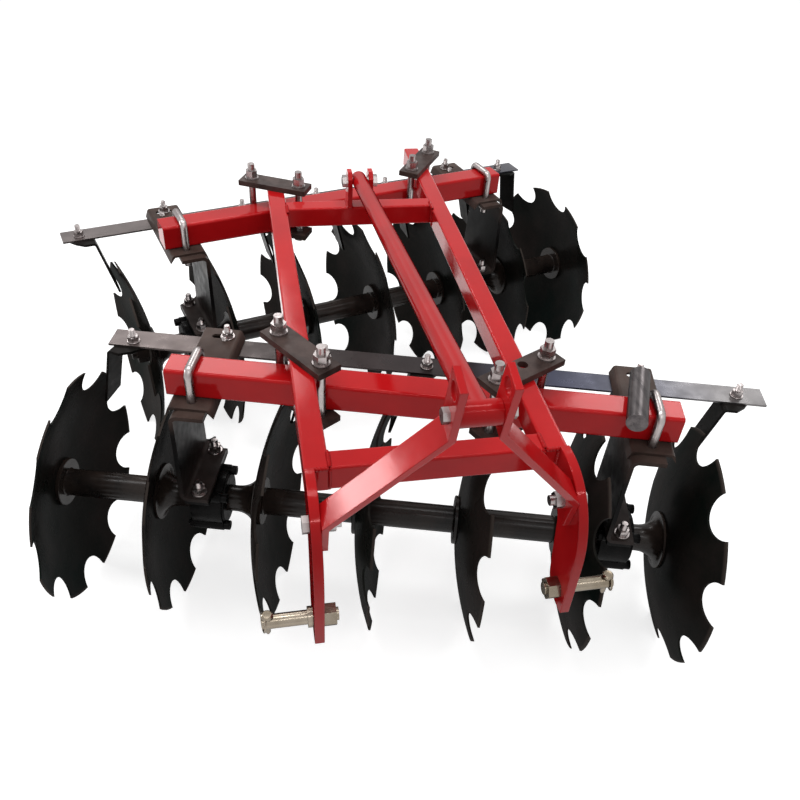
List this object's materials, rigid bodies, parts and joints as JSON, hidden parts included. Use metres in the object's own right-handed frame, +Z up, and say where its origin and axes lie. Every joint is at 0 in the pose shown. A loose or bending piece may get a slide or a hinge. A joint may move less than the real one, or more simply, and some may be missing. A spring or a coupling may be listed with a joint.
{
  "type": "mounted offset disc harrow",
  "caption": "Three-point mounted offset disc harrow: red tube frame and mast, front and rear gangs of notched concave discs at opposite angles, scraper bars.",
  "frame": {"origin": "on the floor below the middle of the bounding box", "axes": "+X to the right seen from the hitch end, +Y to the rear of the harrow, away from the hitch, +Z up"},
  "size_m": [1.4072, 1.5473, 0.8733],
  "materials": {
    "red_paint": "gloss",
    "black_paint": "gloss",
    "disc_black": "gloss",
    "clamp_black": "satin",
    "bar_steel": "satin",
    "zinc": "satin",
    "pin_zinc": "satin",
    "plain_steel": "brushed",
    "cast_black": "satin"
  },
  "bodies": {
    "frame": {"bearing_housings_front": "cast_black", "bearing_housings_rear": "cast_black", "clamp_bolts_front": "zinc", "clamp_bolts_rear": "zinc", "clamp_bottom_front": "clamp_black", "clamp_bottom_rear": "clamp_black", "clamp_top_front": "clamp_black", "clamp_top_rear": "clamp_black", "cross_tube_front": "red_paint", "cross_tube_rear": "red_paint", "gang_beam_front": "red_paint", "gang_beam_rear": "red_paint", "hangers_front": "clamp_black", "hangers_rear": "clamp_black", "hitch_plate_left": "red_paint", "hitch_plate_right": "red_paint", "long_beam_left": "red_paint", "long_beam_right": "red_paint", "lower_pins": "pin_zinc", "mast_bolts": "zinc", "mast_plate_left": "red_paint", "mast_plate_right": "red_paint", "mast_stay": "red_paint", "scraper_bar_front": "bar_steel", "scraper_bar_rear": "bar_steel", "scrapers_front": "black_paint", "scrapers_rear": "black_paint", "stay_lugs": "red_paint", "steel_bar": "plain_steel", "u_bolts_front": "zinc", "u_bolts_rear": "zinc"},
    "front_gang": {"axle_front": "black_paint", "discs_front": "disc_black", "spools_front": "black_paint"},
    "rear_gang": {"axle_rear": "black_paint", "discs_rear": "disc_black", "spools_rear": "black_paint"}
  },
  "joints": [
    {"name": "front_gang_spin", "type": "hinge", "parent": "frame", "child": "front_gang", "pos_m": [0, -0.3799, 0.23], "axis": [0.9659, -0.2588, 0], "continuous": true},
    {"name": "rear_gang_spin", "type": "hinge", "parent": "frame", "child": "rear_gang", "pos_m": [0, 0.3777, 0.23], "axis": [0.9613, 0.2756, 0], "continuous": true}
  ]
}
